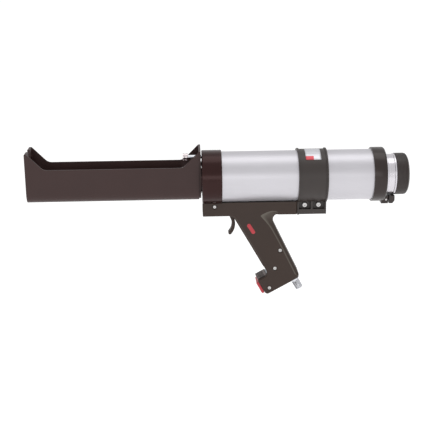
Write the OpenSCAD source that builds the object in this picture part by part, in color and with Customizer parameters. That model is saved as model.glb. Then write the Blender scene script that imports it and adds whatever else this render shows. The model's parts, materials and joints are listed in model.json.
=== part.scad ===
// Air-powered caulking gun for a cartridge with one wide and one thin tube, one above the other.
// Millimetres. The origin is on the cylinder axis at the face that stops the cartridge's front,
// +X runs to the rear, +Z up, and the user's left hand side is -Y.

/* [Cartridge tray] */
// Free length between the tray's end plates
tray_len = 265; // [225:1:320]
// Outer width of the tray
tray_w = 55; // [50:1:62]
// Thickness of the tray's sheet
tray_wall = 2; // [1.5:0.1:2.5]
// Depth of the tray's underside below the cylinder axis
tray_floor = 30.5; // [29:0.5:38]
// Height of the tray's low sides above the axis
tray_side = 22; // [18:0.5:28]
// Height of the tray's tall ends above the axis
tray_horn = 47; // [44:0.5:56]
// Length of the tall ends at the level of the low sides
horn_len = 25; // [20:1:32]
// Radius of the tray's bottom corners
tray_corner = 15; // [10:0.5:18]
// Thickness of the front plate
front_plate_t = 4; // [3:0.5:5]
// Thickness of the rear plate
rear_plate_t = 3; // [2:0.5:4]
// Width of the nozzle slot in the front plate
nozzle_slot = 15; // [12:0.5:18]
// Thickness of the shoe round the tray's front bottom
shoe_t = 1.6; // [1:0.1:2.2]
// Length of the shoe behind the front plate
shoe_len = 47; // [35:1:60]

/* [Air cylinder] */
// Outer diameter of the cylinder tube
tube_d = 80; // [70:1:90]
// Wall of the cylinder tube
tube_wall = 2.5; // [2:0.1:3]
// Length of the cylinder tube
tube_len = 268; // [240:1:320]
// Length of the front head's outer collar
head_len = 31; // [29:0.5:38]
// How far the collar stands out round the tube
collar_proud = 2.7; // [2.2:0.1:4]
// Length of the end cap
cap_len = 20.8; // [19:0.1:26]
// How far the end cap stands out round the tube
cap_proud = 3; // [2.2:0.1:4]
// Thickness of each flat gasket at the tube's ends
gasket_t = 1; // [0.5:0.1:1.5]

/* [Ram] */
// Diameter of the main rod
main_rod_d = 14; // [12:0.5:17]
// Height of the main rod's axis above the cylinder axis
main_rod_z = -5.5; // [-8:0.5:-3]
// Diameter of the main pusher
main_pusher_d = 44; // [38:0.5:45]
// Diameter of the small rod
small_rod_d = 6; // [5:0.1:7]
// Diameter of the small pusher
small_pusher_d = 11.5; // [10:0.1:13]
// Thickness of the main pusher
main_pusher_t = 12; // [8:0.5:14]
// Thickness of the small pusher
small_pusher_t = 8; // [6:0.5:10]
// Gap between the small pusher and the rear plate at rest
pusher_park = 17; // [14:0.5:20]
// Length of the piston
piston_len = 28; // [27:0.5:36]

/* [Rear knob] */
// Outer diameter of the bright ring behind the end cap
ring_d = 65; // [58:0.5:70]
// Length of the bright ring
ring_len = 16; // [13:0.5:20]
// Outer diameter of the rear knob
knob_d = 66; // [58:0.5:70]
// Length of the rear knob
knob_len = 20.6; // [17:0.1:26]
// Diameter of the knob's spindle
knob_spindle_d = 12; // [10:0.5:16]

/* [Clamp] */
// Distance from the front head to the clamp band
clamp_from_head = 119.3; // [100:0.1:140]
// Length of the clamp band
clamp_len = 46; // [42:0.5:56]
// Thickness of the clamp band
clamp_t = 1.9; // [1.5:0.1:3]
// Height of the raised rims at the band's edges
clamp_rim = 1.5; // [1:0.1:2.5]
// Distance between the two clamp screws
clamp_pitch = 22; // [19:0.5:26]
// Shank diameter of the clamp screws
clamp_screw_d = 4; // [3:0.5:5]

/* [Grip] */
// Outer width of the two grip shells together
grip_w = 34; // [32:0.5:38]
// Wall of the grip shells
shell_wall = 3; // [2.5:0.1:3.5]
// Depth of the beam below the tube
beam_h = 21; // [20:0.5:25]
// Gap between the cylinder and the top of the grip shells
beam_gap = 2.2; // [1:0.1:3]
// Distance from the front head's front face to the top of the grip's front edge
grip_from_head = 50; // [46:0.5:60]
// Length of the grip, from the top of its front edge to the regulator knob
grip_len = 114.5; // [104:0.5:125]
// Rake of the grip's front edge line to the regulator knob
grip_rake = 19.7; // [17:0.1:21]
// Lean of the grip's rear edge and of everything in its foot
grip_lean = 28.8; // [27:0.1:30]
// Length of the foot along its underside
foot_len = 63.5; // [62:0.5:70]
// Shank diameter of the shell screws
shell_screw_d = 3; // [2.5:0.1:3.5]
// Head diameter of the shell screws
shell_head_d = 5.6; // [5:0.1:6.2]

/* [Trigger and valve] */
// Width of the trigger
trigger_w = 14; // [11:0.5:15]
// Thickness of the trigger's blade
trigger_t = 5.3; // [4:0.1:6]
// Diameter of the trigger pin
trigger_pin_d = 4; // [3:0.5:5]
// Radius of the blade's finger side
finger_r = 20.8; // [19:0.1:23]
// Diameter of the valve spool's head
spool_d = 9.9; // [9:0.1:12]
// Diameter of the valve spool's stem
stem_d = 6; // [5:0.1:7]
// Outer diameter of the air tubes
air_tube_d = 5; // [4:0.5:5]

/* [Foot] */
// Diameter of the ribbed regulator knob
reg_knob_d = 18; // [16:0.5:19]
// Length of the ribbed regulator knob
reg_knob_len = 16.5; // [14:0.5:18]
// Diameter of the regulator's spindle
reg_spindle_d = 5; // [4:0.5:6]
// Thickness of the foot's front cap
foot_cap_t = 4.5; // [3.5:0.1:6]
// Radius of the inlet nipple's thread (G 1/4)
nipple_r = 6.58; // [4.8:0.01:8.4]
// Length of the inlet nipple's thread
nipple_len = 16; // [12:0.5:20]

/* [Hidden] */
$fn = 72;

run_fit = 0.05;         // radial clearance of what turns or slides
seat_fit = 0.1;         // radial clearance of what is seated
e = 0.01;               // overrun of a cut
tube_r = tube_d / 2;
bore_r = tube_r - tube_wall;

// Stations along X
rear_plate_x = tray_len;
head_x = tray_len + rear_plate_t + 1.7;
collar_x = head_x + head_len;
tube_x = head_x + 13.3;
tube_end = tube_x + tube_len;
cap_wall = 6.5;
cap_end = tube_end + gasket_t + cap_wall;
cap_x = cap_end - cap_len;
ring_end = cap_end + ring_len;
knob_end = ring_end + knob_len;
spigot_len = 6;
piston_x = tube_end - piston_len - 9;
small_pusher_x = rear_plate_x - pusher_park - small_pusher_t;
main_pusher_x = small_pusher_x - 2;
tray_screw_at = [for (s = [-1, 1], z = [-20, 20]) [s * 17, z]];

// Piston's seals and guide ring, and the pocket for its nut
seal_r = 1.5;
seal_at = [piston_x + 20, piston_x + 25];
guide_at = [piston_x + 11, piston_x + 17];
nut_pocket = 6;

// Rods and the transfer tube
small_rod_z = bore_r - small_rod_d / 2 - 1.5;
transfer_y = 10.5;
transfer_wall = 1;
transfer_z = -sqrt(pow(bore_r - 7.6, 2) - pow(transfer_y, 2));

// Clamp, beam and grip
clamp_x = collar_x + clamp_from_head;
clamp_r = tube_r + seat_fit + clamp_t;
cheek_y = 6.2;
cheek_bottom = -tube_r - 19.5;
clamp_screw_x = [for (s = [-1, 1]) clamp_x + clamp_len / 2 + s * clamp_pitch / 2];
pocket_depth = 6;
lug_screw_x = head_x + 19.3;
beam_x = head_x + 0.3;
beam_end = clamp_x - 0.3;
beam_z = -tube_r - beam_h;
half_w = grip_w / 2;
in_w = half_w - shell_wall;
screw_z = -tube_r - 5;
grip_x = head_x + grip_from_head;
grip_drop = 3.6;
grip_z = beam_z - grip_drop;
knob_at = [grip_x + grip_len * sin(grip_rake), grip_z - grip_len * cos(grip_rake)];
grip_root_len = 62.1;
grip_back_x = grip_x + grip_root_len;
foot_h = 26;
shell_seam = 0.05;
knuckle = [19.6, -21.5];  // where the grip's front edge meets the foot, as [t, k]

// Badge: where it sits, how it leans, and half its straight run
badge_at = [grip_x + 27, grip_z - 17.8];
badge_lean = 32;
badge_run = 6.45;
badge_r = 3.25;

// Trigger and valve
pivot = [grip_x - 1, beam_z + 14];
blade_c = [pivot[0] - 23, beam_z - 15.5];
push_x = pivot[0] + 1.5;
spool_z = beam_z - 5;
valve_x = grip_x + 10;
valve_end = valve_x + 38;
stem_tip = stem_d / 2;
spool_x = push_x + stem_tip + 0.2;
spool_head_x = valve_x + 5;
spool_head_len = 12;
spool_seal_x = [spool_head_x + 3, spool_head_x + 9];
valve_cap_x = valve_end - 6;
valve_spring_x = spool_head_x + spool_head_len + 0.9;
feed_z = beam_z + 6.5;
blade_reach = 26;         // how far below the beam the blade sweeps inside the grip

// Point of the foot's own frame: t runs rearward from the regulator knob's front, k runs down
function foot(t, k) = [knob_at[0] + t * cos(grip_lean) + k * sin(grip_lean),
                       knob_at[1] + t * sin(grip_lean) - k * cos(grip_lean)];
nipple_t = 51.7;
manifold_t = [nipple_t - 9, nipple_t + 6.2];
supply_t = nipple_t - 5.2;
reg_body_t = [reg_knob_len + 0.5, reg_knob_len + 12];
neck_k = 3;
manifold_k = [-4, foot_h - shell_wall - 0.3];
supply_k0 = (foot(supply_t, 0)[1] - spool_z + 6.8) / cos(grip_lean);

// Latch behind the end cap
latch_pin_at = [cap_end + 4, -tube_r];
latch_pin_r = 1.5;
latch_ear_w = 22;
latch_slot_w = 10.2;

// Screws through both shells, as [x, z]
shell_screw_at = [foot(56.2, -29.3), foot(34.3, -6.8), foot(10.5, 18.3)];

// Points of an arc of radius r round c, from angle a0 to a1
function arc(c, r, a0, a1, steps = 8) =
    [for (i = [0:steps]) let (a = a0 + (a1 - a0) * i / steps) c + r * [cos(a), sin(a)]];

// Cylinder along X from x0 to x1 at [y, z]
module xcyl(x0, x1, r, at = [0, 0]) {
    translate([x0, at[0], at[1]]) rotate([0, 90, 0]) cylinder(h = x1 - x0, r = r);
}

// Ring along X from x0 to x1
module xring(x0, x1, ro, ri, at = [0, 0]) {
    difference() {
        xcyl(x0, x1, ro, at);
        xcyl(x0 - e, x1 + e, ri, at);
    }
}

// Round-section ring in the plane of constant X
module xtorus(x, r, section_r, at = [0, 0]) {
    translate([x, at[0], at[1]]) rotate([0, 90, 0])
        rotate_extrude() translate([r, 0]) circle(section_r, $fn = 24);
}

// Cylinder along Y from y0 to y1 at the point p = [x, z]
module ycyl(p, y0, y1, r) {
    translate([p[0], y0, p[1]]) rotate([-90, 0, 0]) cylinder(h = y1 - y0, r = r);
}

// Box from corner a to corner b
module span(a, b) {
    translate(a) cube(b - a);
}

// Flat shape drawn in X and Z, made solid from y0 to y1
module side_plate(y0, y1) {
    translate([0, y1, 0]) rotate([90, 0, 0]) linear_extrude(y1 - y0) children();
}

// Cylinder in the foot's frame along t, on the line k
module foot_cyl(t0, t1, k, r) {
    p = foot(t0, k);
    translate([p[0], 0, p[1]]) rotate([0, 90 - grip_lean, 0]) cylinder(h = t1 - t0, r = r);
}

// Cylinder in the foot's frame along k, from k0 down to k1, on the line t
module drop_cyl(t, k0, k1, r, y = 0, sides = 72) {
    p = foot(t, k0);
    translate([p[0], y, p[1]]) rotate([0, 180 - grip_lean, 0])
        cylinder(h = k1 - k0, r = r, $fn = sides);
}

// Coil of wire round +Z, as one swept surface
module coil(coil_r, wire_r, length, turns) {
    steps = round(turns * 14);
    sides = 6;
    ring = [for (i = [0:steps]) let (a = 360 * turns * i / steps, z = length * i / steps)
        each [for (j = [0:sides - 1]) let (b = 360 * j / sides, r = coil_r + wire_r * cos(b))
            [r * cos(a), r * sin(a), z + wire_r * sin(b)]]];
    walls = [for (i = [0:steps - 1]) each [for (j = [0:sides - 1])
        let (p = i * sides + j, q = i * sides + (j + 1) % sides)
            each [[p, q, q + sides], [p, q + sides, p + sides]]]];
    last = steps * sides;
    ends = [[for (j = [sides - 1:-1:0]) j], [for (j = [0:sides - 1]) last + j]];
    polyhedron(ring, concat(walls, ends), convexity = 10);
}

// Cross-section of the tray as seen along X, grown outward by g
module tray_section(g = 0) {
    w = tray_w / 2 + g;
    r = tray_corner + g;
    floor_z = -tray_floor - g;
    for (s = [-1, 1]) translate([s * (w - r), floor_z + r]) circle(r);
    translate([-w + r, floor_z]) square([2 * (w - r), r * 2]);
    translate([-w, floor_z + r]) square([2 * w, tray_horn - floor_z - r]);
}

// Sweep of the tray's cross-section from x0 to x1
module tray_sweep(x0, x1, g = 0) {
    translate([x0, 0, 0]) rotate([90, 0, 90]) linear_extrude(x1 - x0) tray_section(g);
}

module cartridge_tray() {
    rise = tray_horn - tray_side;
    color("#4a3f3d") difference() {
        tray_sweep(-front_plate_t, tray_len);
        translate([0, 0, e]) tray_sweep(-front_plate_t - e, tray_len + e, -tray_wall);
        side_plate(-tray_w, tray_w) polygon([
            [horn_len, tray_side], [tray_len - horn_len, tray_side],
            [tray_len - horn_len + rise, tray_horn + 1], [horn_len - rise, tray_horn + 1]]);
    }
}

module tray_front_plate() {
    slot_z = main_rod_z - 8;
    color("#443937") difference() {
        tray_sweep(-front_plate_t, 0, -tray_wall - run_fit);
        span([-front_plate_t - e, -nozzle_slot / 2, slot_z], [e, nozzle_slot / 2, tray_horn + 1]);
        xcyl(-front_plate_t - e, e, nozzle_slot / 2, [0, slot_z]);
    }
}

module tray_shoe() {
    shoe_top = -tray_floor + tray_corner - 2;
    color("#463b39") difference() {
        tray_sweep(-front_plate_t, shoe_len, shoe_t);
        tray_sweep(-front_plate_t - e, shoe_len + e);
        span([-front_plate_t - 1, -tray_w, shoe_top], [shoe_len + 1, tray_w, tray_horn + 10]);
    }
}

module tray_rear_plate() {
    color("#57504e") difference() {
        tray_sweep(rear_plate_x, rear_plate_x + rear_plate_t);
        xcyl(rear_plate_x - e, head_x, main_rod_d / 2 + 0.5, [0, main_rod_z]);
        xcyl(rear_plate_x - e, head_x, small_rod_d / 2 + 0.5, [0, small_rod_z]);
        for (p = tray_screw_at) xcyl(rear_plate_x - e, head_x, 2.1, p);
    }
}

module tray_screws() {
    color("#a9a5a3") for (p = tray_screw_at) difference() {
        union() {
            xcyl(rear_plate_x - 2.4, rear_plate_x, 3.6, p);
            xcyl(rear_plate_x - e, head_x + 9, 2, p);
        }
        translate([rear_plate_x - 2.5, p[0], p[1]]) rotate([0, 90, 0])
            cylinder(h = 1.6, r = 1.45, $fn = 6);
    }
}

module front_head() {
    lug = [head_x + 6.3, head_x + 28.3];
    color("#3f2d2c") difference() {
        union() {
            rotate([0, 90, 0]) rotate_extrude() polygon([
                [0, head_x], [tube_r + collar_proud - 1, head_x],
                [tube_r + collar_proud, head_x + 1], [tube_r + collar_proud, collar_x - 0.6],
                [tube_r + collar_proud - 0.6, collar_x], [tube_r + seat_fit, collar_x],
                [tube_r + seat_fit, tube_x - gasket_t], [bore_r - seat_fit, tube_x - gasket_t],
                [bore_r - seat_fit, tube_x + spigot_len], [0, tube_x + spigot_len]]);
            xcyl(rear_plate_x + rear_plate_t, head_x + e, 25);
            span([lug[0], -in_w + seat_fit, beam_z + shell_wall + 0.2],
                 [lug[1], in_w - seat_fit, -tube_r - 1]);
        }
        xcyl(rear_plate_x, tube_x + 20, main_rod_d / 2 + 0.5, [0, main_rod_z]);
        xcyl(head_x + 2, tube_x + 2, main_rod_d / 2 + 3, [0, main_rod_z]);
        xcyl(rear_plate_x, tube_x + 20, small_rod_d / 2 + 0.3, [0, small_rod_z]);
        xcyl(head_x + 2, head_x + 12, small_rod_d / 2 + 1.5, [0, small_rod_z]);
        for (p = tray_screw_at) xcyl(rear_plate_x, head_x + 11, 2 + run_fit, p);
        xcyl(head_x + 8, tube_x + 20, air_tube_d / 2 + run_fit, [transfer_y, transfer_z]);
        translate([head_x + 11, transfer_y, feed_z]) cylinder(h = transfer_z - feed_z, r = 2);
        xcyl(head_x + 9, head_x + 40, air_tube_d / 2 + run_fit, [transfer_y, feed_z]);
        ycyl([lug_screw_x, screw_z], -half_w, half_w, shell_screw_d / 2 + seat_fit);
    }
}

module cylinder_tube() {
    color("#d0ced3") xring(tube_x, tube_end, tube_r, bore_r);
}

module cylinder_gaskets() {
    color("#242424") {
        xring(tube_x - gasket_t, tube_x, tube_r, bore_r);
        xring(tube_end, tube_end + gasket_t, tube_r, bore_r);
    }
}

module end_cap() {
    r = tube_r + cap_proud;
    color("#342b28") difference() {
        union() {
            rotate([0, 90, 0]) rotate_extrude() polygon(concat(
                [[0, tube_end - 6], [bore_r - seat_fit, tube_end - 6],
                 [bore_r - seat_fit, tube_end + gasket_t], [tube_r + seat_fit, tube_end + gasket_t],
                 [tube_r + seat_fit, cap_x], [r - 0.4, cap_x], [r, cap_x + 0.4]],
                arc([r - 3.5, cap_end - 3.5], 3.5, 0, 90, 6),
                [[0, cap_end]]));
            span([cap_end - 4, -latch_ear_w / 2, -tube_r - 6],
                 [cap_end + 7, latch_ear_w / 2, -ring_d / 2 - 1]);
        }
        xcyl(tube_end - 2, cap_end + 1, knob_spindle_d / 2 + run_fit);
        xcyl(tube_end - 10, cap_end - 4, air_tube_d / 2 + run_fit, [transfer_y, transfer_z]);
        span([cap_end, -latch_slot_w / 2, -tube_r - 8],
             [cap_end + 8, latch_slot_w / 2, -ring_d / 2]);
        ycyl(latch_pin_at, -latch_ear_w, latch_ear_w, latch_pin_r + run_fit);
    }
}

module cap_ring() {
    r = ring_d / 2;
    color("#c8c4cb") rotate([0, 90, 0]) rotate_extrude() polygon([
        [20, cap_end], [r, cap_end], [r, cap_end + 3], [r - 0.8, cap_end + 3.6],
        [r - 0.8, ring_end - 2.6], [r, ring_end - 2], [r, ring_end], [20, ring_end]]);
}

module main_rod_bush() {
    color("#b08d57")
        xring(head_x + 7, tube_x + 2, main_rod_d / 2 + 3, main_rod_d / 2 + run_fit, [0, main_rod_z]);
}

module small_rod_bush() {
    color("#b08d57")
        xring(head_x + 6, head_x + 12, small_rod_d / 2 + 1.5, small_rod_d / 2 + run_fit,
              [0, small_rod_z]);
}

module rod_seals() {
    color("#1e1e1e") {
        xring(head_x + 2, head_x + 7, main_rod_d / 2 + 3, main_rod_d / 2 + run_fit,
              [0, main_rod_z]);
        xring(head_x + 2, head_x + 6, small_rod_d / 2 + 1.5, small_rod_d / 2 + run_fit,
              [0, small_rod_z]);
    }
}

module transfer_tube() {
    color("#b9bcc0")
        xring(head_x + 9, tube_end + 1, air_tube_d / 2, air_tube_d / 2 - transfer_wall,
              [transfer_y, transfer_z]);
}

module piston() {
    body_r = bore_r - 0.3;
    color("#9fa3a8") difference() {
        xcyl(piston_x, piston_x + piston_len, body_r);
        xring(guide_at[0], guide_at[1], bore_r + 1, bore_r - 2.4);
        for (x = seal_at) xring(x - seal_r - 0.1, x + seal_r + 0.1, bore_r + 1, bore_r - 3.2);
        xcyl(piston_x - e, piston_x + 9, small_rod_d / 2, [0, small_rod_z]);
        xcyl(piston_x - e, piston_x + 8, main_rod_d / 2, [0, main_rod_z]);
        xcyl(piston_x - e, piston_x + 40, main_rod_d / 2 - 2, [0, main_rod_z]);
        xcyl(piston_x + piston_len - nut_pocket, piston_x + 40, 10, [0, main_rod_z]);
        xcyl(piston_x - e, piston_x + 40, air_tube_d / 2 + run_fit, [transfer_y, transfer_z]);
    }
}

module piston_seals() {
    color("#232323") for (x = seal_at) xtorus(x, bore_r - 0.1 - seal_r, seal_r);
}

module piston_guide_ring() {
    color("#e6e3da")
        xring(guide_at[0] + 0.05, guide_at[1] - 0.05, bore_r - run_fit, bore_r - 2.3);
}

module rod_nut() {
    x = piston_x + piston_len - nut_pocket;
    color("#8e8e90") difference() {
        translate([x, 0, main_rod_z]) rotate([0, 90, 0])
            cylinder(h = nut_pocket - 0.5, r = 9.2, $fn = 6);
        xcyl(x - e, x + nut_pocket, main_rod_d / 2 - 2, [0, main_rod_z]);
    }
}

module main_rod() {
    rod_x = main_pusher_x + main_pusher_t;
    color("#c9c9cc") difference() {
        union() {
            xcyl(rod_x, piston_x + 8, main_rod_d / 2, [0, main_rod_z]);
            xcyl(piston_x + 7, piston_x + piston_len - 1, main_rod_d / 2 - 2, [0, main_rod_z]);
        }
        xcyl(rod_x - e, rod_x + 14, 3, [0, main_rod_z]);
    }
}

module small_rod() {
    color("#cfcfd2")
        xcyl(small_pusher_x + small_pusher_t - 4, piston_x + 9, small_rod_d / 2, [0, small_rod_z]);
}

module main_pusher() {
    r = main_pusher_d / 2;
    t = main_pusher_t;
    color("#b5aeb0") difference() {
        translate([main_pusher_x, 0, main_rod_z]) rotate([0, 90, 0]) rotate_extrude()
            polygon([[0, 0], [r - 1, 0], [r, 1], [r, t - 3], [r - 3, t], [0, t]]);
        xcyl(main_pusher_x - e, main_pusher_x + 20, 3 + seat_fit, [0, main_rod_z]);
        xcyl(main_pusher_x - e, main_pusher_x + 4.2, 5.2, [0, main_rod_z]);
    }
}

module small_pusher() {
    r = small_pusher_d / 2;
    t = small_pusher_t;
    color("#d6c9cb") difference() {
        translate([small_pusher_x, 0, small_rod_z]) rotate([0, 90, 0]) rotate_extrude()
            polygon([[0, 0], [r - 0.6, 0], [r, 0.6], [r, t - 0.6], [r - 0.6, t], [0, t]]);
        xcyl(small_pusher_x + t - 4, small_pusher_x + t + 1, small_rod_d / 2, [0, small_rod_z]);
    }
}

module pusher_screw() {
    color("#8e8e90") difference() {
        union() {
            xcyl(main_pusher_x + 0.4, main_pusher_x + 4.2, 5, [0, main_rod_z]);
            xcyl(main_pusher_x + 4.1, main_pusher_x + main_pusher_t + 13, 3, [0, main_rod_z]);
        }
        translate([main_pusher_x + 0.3, 0, main_rod_z]) rotate([0, 90, 0])
            cylinder(h = 2.6, r = 2.9, $fn = 6);
    }
}

module clamp_band() {
    x0 = clamp_x;
    x1 = clamp_x + clamp_len;
    color("#4a403d") difference() {
        union() {
            xcyl(x0, x1, clamp_r);
            for (x = [x0, x1 - 2.5]) xcyl(x, x + 2.5, clamp_r + clamp_rim);
            difference() {
                span([x0 + 0.6, -half_w, cheek_bottom], [x1, half_w, -tube_r + 12]);
                for (x = clamp_screw_x, s = [-1, 1])
                    span([x - clamp_pitch / 2 + 1.6, s > 0 ? half_w - pocket_depth : -half_w - 2,
                          screw_z - 6.5],
                         [x + clamp_pitch / 2 - 1.6, s > 0 ? half_w + 2 : -half_w + pocket_depth,
                          -tube_r + 13]);
            }
            span([x0, -half_w - 1, cheek_bottom - 0.5], [x0 + 2.5, half_w + 1, -tube_r + 8]);
        }
        xcyl(x0 - e, x1 + e, tube_r + seat_fit);
        span([x0 - e, -cheek_y, -tube_r - 30], [x1 + e, cheek_y, -tube_r + 12]);
        for (x = clamp_screw_x)
            ycyl([x, screw_z], -grip_w, grip_w, clamp_screw_d / 2 + seat_fit);
    }
}

module clamp_screws() {
    r = clamp_screw_d / 2;
    head_y = -half_w + pocket_depth;
    color("#b9b6b4") for (x = clamp_screw_x) difference() {
        union() {
            ycyl([x, screw_z], head_y - 4, head_y, 3.5);
            ycyl([x, screw_z], head_y - e, -head_y + 4.6, r);
        }
        translate([x, head_y - 4 - e, screw_z]) rotate([-90, 0, 0])
            cylinder(h = 2.2, r = 1.75, $fn = 6);
    }
}

module clamp_nuts() {
    y = half_w - pocket_depth;
    color("#a3a09e") for (x = clamp_screw_x) difference() {
        translate([x, y, screw_z]) rotate([-90, 0, 0]) cylinder(h = 3.2, r = 4.04, $fn = 6);
        ycyl([x, screw_z], y - e, y + 4, clamp_screw_d / 2);
    }
}

module rating_plate() {
    x0 = clamp_x + 11.5;
    x1 = x0 + 24;
    color("#cdcdd2") rotate([0, 90, 0]) rotate([0, 0, 180]) rotate_extrude(angle = 42)
        translate([clamp_r, x0]) square([0.5, x1 - x0]);
}

// Outline of the beam, grip and foot from the side
module shell_outline() {
    fillet = 8.5;
    heel = 6.9;
    corner = [grip_back_x + fillet, beam_z + 1.3 - fillet];
    heel_c = foot(foot_len - heel, foot_h - heel);
    polygon(concat(
        [[beam_x, -tube_r + 6], [beam_end, -tube_r + 6], [beam_end, beam_z + 1.1]],
        arc(corner, fillet, 90, 180),
        [[grip_back_x + 0.7, beam_z - 13]],
        arc(heel_c, heel, grip_lean - 2, grip_lean - 90),
        [foot(3.5, foot_h), foot(0.5, foot_h - 3), foot(0.5, -1.7)],
        arc(foot(12, -10.7), 9, grip_lean - 90, grip_lean - 4, 6),
        [foot(knuckle[0], knuckle[1]), [grip_x, grip_z], [grip_x - 5, beam_z], [beam_x, beam_z]]));
}

// Hollow left by the shell's wall, open above the beam
module shell_hollow() {
    offset(delta = -shell_wall) shell_outline();
    polygon([[beam_x + shell_wall, -tube_r - 12], [beam_end - shell_wall, -tube_r - 12],
             [beam_end - shell_wall, -tube_r + 20], [beam_x + shell_wall, -tube_r + 20]]);
}

// Pill shape of the badge, standing upright, from y0 to y1
module badge(y0, y1, r) {
    translate([badge_at[0], 0, badge_at[1]]) rotate([0, -badge_lean, 0]) {
        for (s = [-1, 1]) ycyl([0, s * badge_run], y0, y1, r);
        span([-r, y0, -badge_run], [r, y1, badge_run]);
    }
}

// Right shell, from the seam outwards
module shell_half(screw_side) {
    difference() {
        union() {
            difference() {
                side_plate(shell_seam, half_w) shell_outline();
                side_plate(-1, in_w) shell_hollow();
            }
            intersection() {
                for (p = shell_screw_at) ycyl(p, shell_seam, in_w + 1, 4);
                side_plate(0, half_w) shell_outline();
            }
            ycyl(pivot, trigger_w / 2 + 1.6, in_w + 1, trigger_pin_d / 2 + 2.3);
            span([beam_end - shell_wall, shell_seam, screw_z - 11],
                 [clamp_x + clamp_len - 3, cheek_y - seat_fit, -tube_r - 0.3]);
        }
        xcyl(beam_x - 1, collar_x + 0.5, tube_r + collar_proud + 0.15);
        xcyl(beam_x - 1, clamp_x + clamp_len, tube_r + beam_gap);
        ycyl(pivot, -1, in_w + 1, trigger_pin_d / 2 + seat_fit / 2);
        for (p = shell_screw_at) ycyl(p, -1, in_w, shell_screw_d / 2 + seat_fit);
        if (screw_side) for (p = shell_screw_at) {
            ycyl(p, -1, half_w + 1, shell_screw_d / 2 + seat_fit);
            ycyl(p, half_w - 3, half_w + 1, shell_head_d / 2 + 0.7);
        }
        ycyl([lug_screw_x, screw_z], -1, half_w + 1, shell_screw_d / 2 + seat_fit);
        if (screw_side) ycyl([lug_screw_x, screw_z], half_w - 2, half_w + 1, 4);
        for (x = clamp_screw_x) ycyl([x, screw_z], -1, half_w, clamp_screw_d / 2 + seat_fit);
        span([pivot[0] - 12, -1, beam_z - blade_reach],
             [valve_x - 0.5, trigger_w / 2 + 0.6, -tube_r - 3]);
        span([pivot[0], -1, beam_z - blade_reach],
             [valve_x + 3, trigger_w / 2 + 0.6, spool_z - 9.5]);
        badge(half_w - 1, half_w + 1, badge_r + seat_fit / 2);
        drop_cyl(nipple_t, foot_h - 10, foot_h + 5, 5 + 2 * seat_fit);
        foot_cyl(-3, reg_body_t[0], 0, reg_knob_d / 2 + 0.4);
        foot_cyl(0, reg_body_t[1] + 0.3, 0, reg_knob_d / 2 - 1 + seat_fit);
        foot_cap_clip(seat_fit);
    }
}

// Clip on the back of the foot cap, grown by g
module foot_cap_clip(g = 0) {
    p = foot(0, foot_h - 10);
    translate([p[0], 0, p[1]]) rotate([0, -grip_lean, 0])
        span([-1, -8 - g, -3 - g], [5, 8 + g, 3 + g]);
}

module grip_shell_left() {
    color("#443e37") mirror([0, 1, 0]) shell_half(true);
}

module grip_shell_right() {
    color("#443e37") shell_half(false);
}

module shell_screws() {
    color("#c5c3c2") for (p = shell_screw_at) difference() {
        union() {
            ycyl(p, -half_w + 0.8, -half_w + 3, shell_head_d / 2);
            ycyl(p, -half_w + 3 - e, in_w - 1, shell_screw_d / 2);
        }
        translate([p[0], -half_w + 0.7, p[1]]) rotate([-90, 0, 0])
            cylinder(h = 1.5, r = 1.3, $fn = 6);
    }
}

module head_screw() {
    p = [lug_screw_x, screw_z];
    color("#cfcdcc") difference() {
        union() {
            ycyl(p, -half_w - 0.4, -half_w + 2, 2.4);
            ycyl(p, -half_w + 2 - e, half_w - 0.6, shell_screw_d / 2);
        }
        translate([p[0], -half_w - 0.5, p[1]]) rotate([-90, 0, 0])
            cylinder(h = 1.6, r = 1.2, $fn = 6);
    }
}

module grip_badges() {
    color("#c23c46") for (s = [0, 1]) mirror([0, s, 0]) badge(half_w - 1, half_w + 0.5, badge_r);
}

// Trigger from the side: hub, arm and curved blade with a round tip
module trigger_outline() {
    r1 = finger_r + trigger_t;
    tip_r = trigger_t / 2;
    low = -41;
    translate(pivot) circle(trigger_pin_d / 2 + 3.2);
    translate([push_x - 7, beam_z - 5]) square([7, pivot[1] - beam_z + 5]);
    polygon(concat(arc(blade_c, finger_r, 32, low, 14), arc(blade_c, r1, low, 38, 14)));
    translate(blade_c + (finger_r + tip_r) * [cos(low), sin(low)]) circle(tip_r);
}

module trigger() {
    color("#4d4945") difference() {
        side_plate(-trigger_w / 2, trigger_w / 2) trigger_outline();
        ycyl(pivot, -trigger_w, trigger_w, trigger_pin_d / 2 + run_fit);
        span([push_x, -trigger_w, spool_z - 5], [push_x + 2, trigger_w, spool_z + 5]);
    }
}

module trigger_pin() {
    color("#c0c0c2") ycyl(pivot, -in_w - 0.9, in_w + 0.9, trigger_pin_d / 2);
}

module valve_body() {
    color("#8a8d91") difference() {
        union() {
            span([valve_x, -9, spool_z - 8.5], [valve_end, 9, spool_z + 8.5]);
            span([valve_x, -9, spool_z + 8], [valve_end, in_w - 0.3, feed_z + 6]);
        }
        xcyl(valve_x - e, valve_end + e, stem_d / 2 + run_fit, [0, spool_z]);
        xcyl(valve_x + 4, valve_end + e, spool_d / 2 + run_fit, [0, spool_z]);
        xcyl(valve_x - e, valve_x + 9, air_tube_d / 2 + run_fit, [transfer_y, feed_z]);
        drop_cyl(supply_t, supply_k0 - 1, supply_k0 + 30, air_tube_d / 2 + run_fit);
    }
}

module valve_spool() {
    r = spool_d / 2;
    color("#d9d5c8") difference() {
        union() {
            translate([spool_x, 0, spool_z]) sphere(stem_tip);
            xcyl(spool_x, spool_head_x + 1, stem_d / 2, [0, spool_z]);
            xcyl(spool_head_x, spool_head_x + spool_head_len, r, [0, spool_z]);
        }
        for (x = spool_seal_x) xring(x - 0.85, x + 0.85, r + 1, r - 1.55, [0, spool_z]);
    }
}

module spool_seals() {
    color("#1f1f1f") for (x = spool_seal_x) xtorus(x, spool_d / 2 - 0.75, 0.75, [0, spool_z]);
}

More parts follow.
